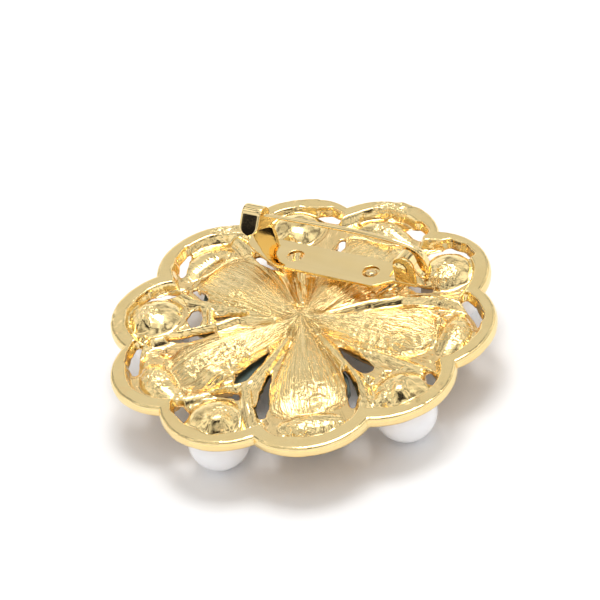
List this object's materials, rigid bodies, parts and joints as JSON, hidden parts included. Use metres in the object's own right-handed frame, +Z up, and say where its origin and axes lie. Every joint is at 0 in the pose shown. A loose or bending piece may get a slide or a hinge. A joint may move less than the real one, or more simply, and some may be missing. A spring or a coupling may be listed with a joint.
{
  "type": "flower brooch",
  "caption": "Gilt flower brooch lying face down on its pearls: scalloped openwork back, soldered bar pin with a hinged stem and a C catch.",
  "frame": {"origin": "under the middle of the flower, on the surface that the pearls rest on, with the back of the brooch facing up", "axes": "+Z up, out of the back of the brooch; +X along the bar pin from its catch to its hinge; +Y from the flower's middle towards the bar pin"},
  "size_m": [0.051, 0.0518, 0.0155],
  "materials": {
    "cast_gold": "pale gold plating over a rough casting, glossy with brushed grooves",
    "polished_gold": "pale gold plating over smooth stamped sheet and wire, mirror bright",
    "solder": "gilded solder, slightly lumpy, satin",
    "pearl": "white imitation pearl with a soft pearly coating",
    "green_glass": "dark teal faceted glass with a foiled back",
    "clear_glass": "clear faceted glass with a foiled back"
  },
  "bodies": {
    "brooch": {"casting": "cast_gold", "pearl_b": "pearl", "pearl_d": "pearl", "pearl_f": "pearl", "pearl_h": "pearl", "pearl_j": "pearl", "petal_stone_a": "green_glass", "petal_stone_c": "green_glass", "petal_stone_e": "green_glass", "petal_stone_g": "green_glass", "petal_stone_i": "green_glass", "centre_stone": "clear_glass", "rhinestone_a1": "clear_glass", "rhinestone_a2": "clear_glass", "rhinestone_a3": "clear_glass", "rhinestone_c1": "clear_glass", "rhinestone_c2": "clear_glass", "rhinestone_c3": "clear_glass", "rhinestone_e1": "clear_glass", "rhinestone_e2": "clear_glass", "rhinestone_e3": "clear_glass", "rhinestone_g1": "clear_glass", "rhinestone_g2": "clear_glass", "rhinestone_g3": "clear_glass", "rhinestone_i1": "clear_glass", "rhinestone_i2": "clear_glass", "rhinestone_i3": "clear_glass", "bar_plate": "polished_gold", "hinge_rivet": "polished_gold", "solder_plug": "solder", "solder_pad": "solder"},
    "stem": {"pin_stem": "polished_gold"}
  },
  "joints": [
    {"name": "stem_pivot", "type": "hinge", "parent": "brooch", "child": "stem", "pos_m": [0.0102, 0.0106, 0.01175], "axis": [0, 1, 0], "range_deg": [-9, 75]}
  ]
}
